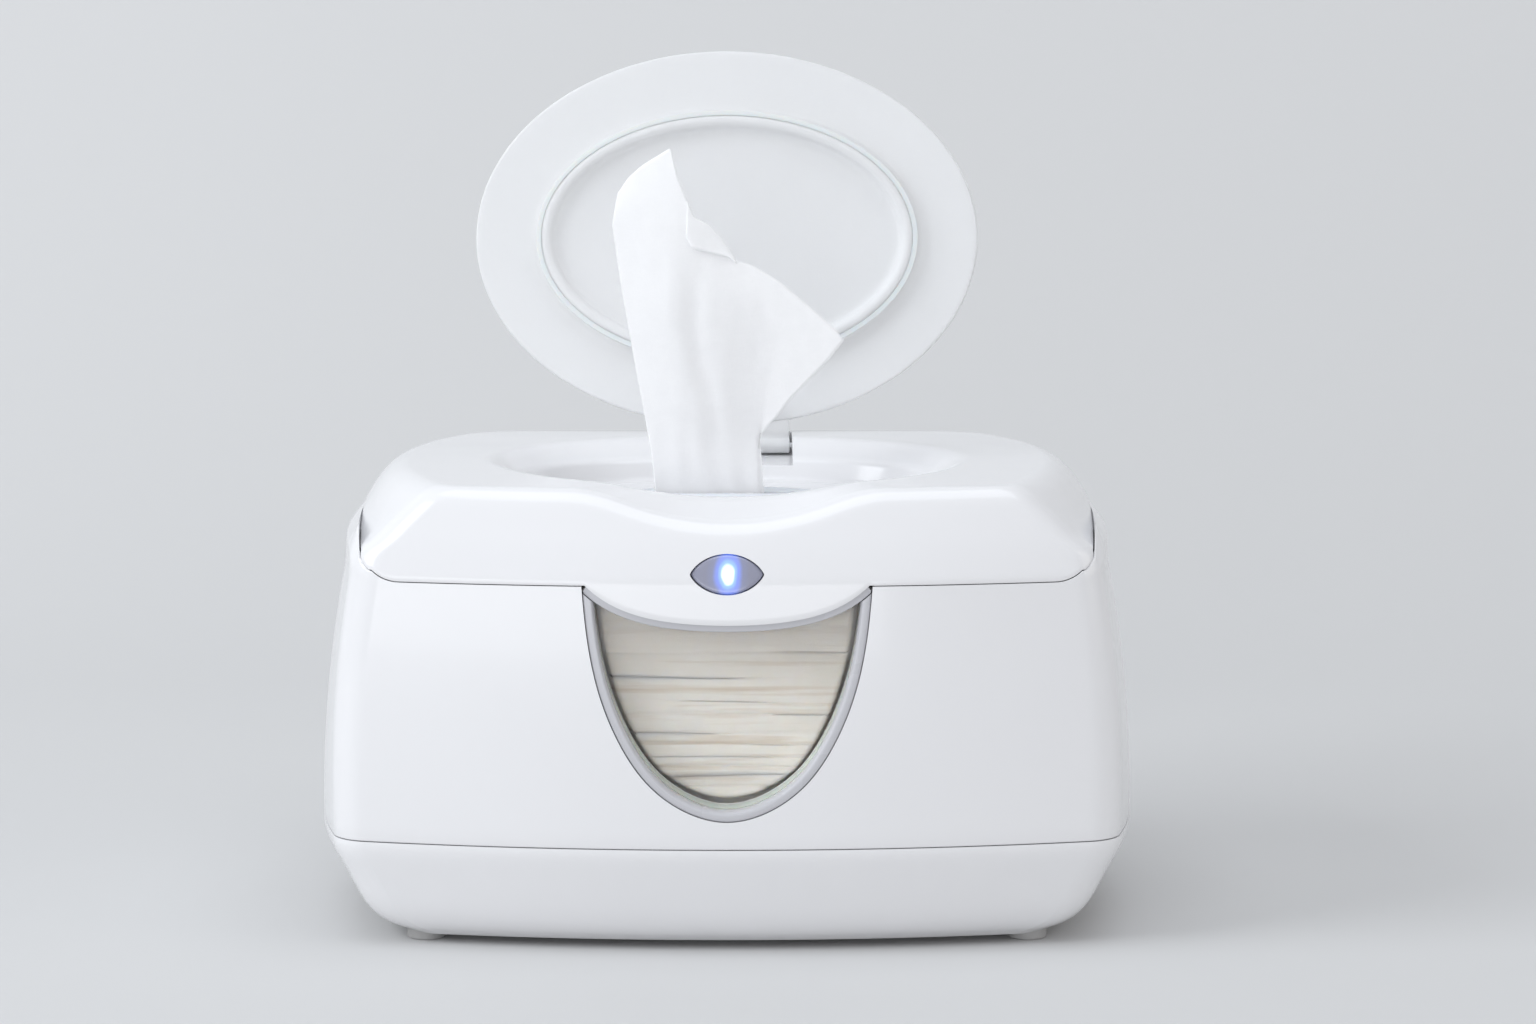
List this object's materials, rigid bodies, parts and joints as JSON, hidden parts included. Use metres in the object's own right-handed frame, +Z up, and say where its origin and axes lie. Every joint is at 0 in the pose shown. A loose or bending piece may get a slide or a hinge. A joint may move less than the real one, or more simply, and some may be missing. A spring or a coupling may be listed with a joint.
{
  "type": "baby wipe warmer",
  "caption": "Box-shaped wipe warmer with a hinged cover, an oval flip lid over the dispensing slit, a front window, a lit press button and rubber feet.",
  "frame": {"origin": "middle of the footprint, on the surface that the feet stand on", "axes": "+Z up; -Y is the front, with the window and the button; +X is right seen from the front"},
  "size_m": [0.2652, 0.1834, 0.2768],
  "materials": {
    "white_gloss": "polished white ABS",
    "grey_gloss": "light grey, glossy",
    "inner_white": "satin",
    "liner_grey": "satin light grey",
    "orifice_white": "satin",
    "grey_rubber": "matt grey",
    "seal_white": "translucent silicone",
    "steel": "plain",
    "window_clear": "clear acrylic",
    "wipe_cloth": "soft non-woven, damp",
    "heater_aluminium": "plain sheet",
    "film_amber": "polyimide film",
    "pad_grey": "felt",
    "part_black": "satin",
    "board_green": "solder resist",
    "led_blue": "clear blue",
    "pin_brass": "plated",
    "lead_black": "satin",
    "lead_red": "satin",
    "lid_frosted": "frosted, slightly see-through",
    "button_lens": "clear lens, lit blue"
  },
  "bodies": {
    "base": {"base_tray": "white_gloss", "feet": "grey_rubber", "base_screws": "steel", "housing": "white_gloss", "window_bezel": "grey_gloss", "window_pane": "window_clear", "window_seal": "grey_rubber", "tub": "inner_white", "wipe_stack": "wipe_cloth", "cover_hinge_pins": "steel"},
    "cover": {"cover_shell": "white_gloss", "cover_liner": "liner_grey", "cover_gasket": "grey_rubber", "liner_screws": "steel", "heater_plate": "heater_aluminium", "heater_film": "film_amber", "insulation_pad": "pad_grey", "thermostat": "part_black", "control_board": "board_green", "tact_switch": "part_black", "status_led": "led_blue", "dc_jack": "part_black", "dc_jack_pin": "pin_brass", "power_leads": "lead_black", "heater_leads": "lead_red", "wipe_orifice": "orifice_white", "wipe_tip": "wipe_cloth", "lid_hinge_pin": "steel"},
    "flip_lid": {"flip_lid": "lid_frosted", "lid_seal": "seal_white"},
    "light_button": {"light_button": "button_lens"}
  },
  "joints": [
    {"name": "cover_hinge", "type": "hinge", "parent": "base", "child": "cover", "pos_m": [0, 0.089, 0.1176], "axis": [-1, 0, 0], "range_deg": [0, 80]},
    {"name": "lid_hinge", "type": "hinge", "parent": "cover", "child": "flip_lid", "pos_m": [0, 0.0635, 0.1433], "axis": [1, 0, 0], "range_deg": [0, 99], "deforming": ["wipe_tip"]},
    {"name": "button_press", "type": "slide", "parent": "cover", "child": "light_button", "axis": [0, 1, 0], "range_m": [0, 0.0008], "stiffness_N_per_m": 1200}
  ]
}
